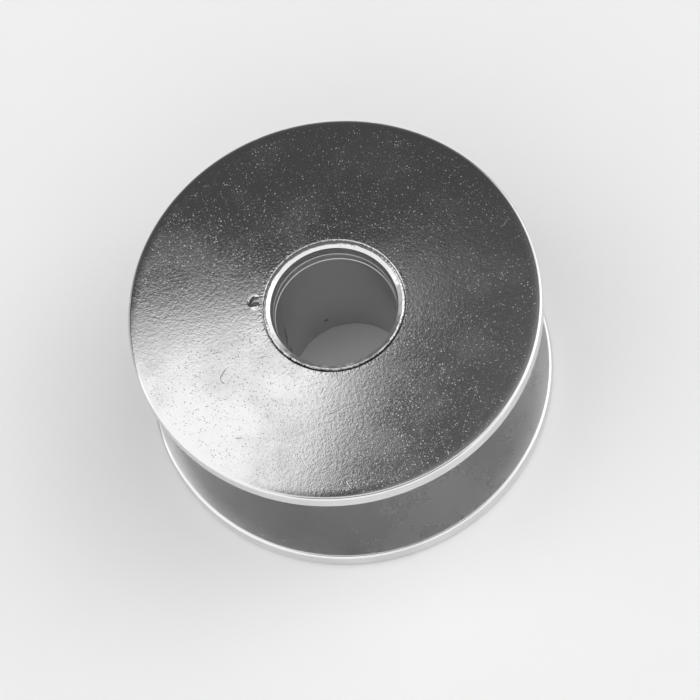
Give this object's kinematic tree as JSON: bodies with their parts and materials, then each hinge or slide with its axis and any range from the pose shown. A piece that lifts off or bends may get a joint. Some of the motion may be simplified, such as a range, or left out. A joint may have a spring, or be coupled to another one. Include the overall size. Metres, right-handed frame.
{
  "type": "sewing machine bobbin",
  "caption": "Round steel thread bobbin: plain dished flanges swaged to a hollow hub tube, bored through for a sewing machine's bobbin spindle or winder.",
  "frame": {"origin": "on the bore's axis, at the level that the bobbin stands on (the crest of the lower lip)", "axes": "+Z along the bore, from the lower flange to the upper flange; the part is the same all round, so X and Y are any two directions across it"},
  "size_m": [0.0205, 0.0204, 0.009],
  "materials": {
    "flange_nickel": "bright nickel plate over tumbled sheet steel, with a fine orange-peel grain and light handling marks",
    "hub_nickel": "bright nickel plate over turned steel tube, smooth bore with fine steps at each mouth"
  },
  "bodies": {
    "root": {"upper_flange": "flange_nickel", "lower_flange": "flange_nickel", "hub_tube": "hub_nickel"}
  },
  "joints": []
}
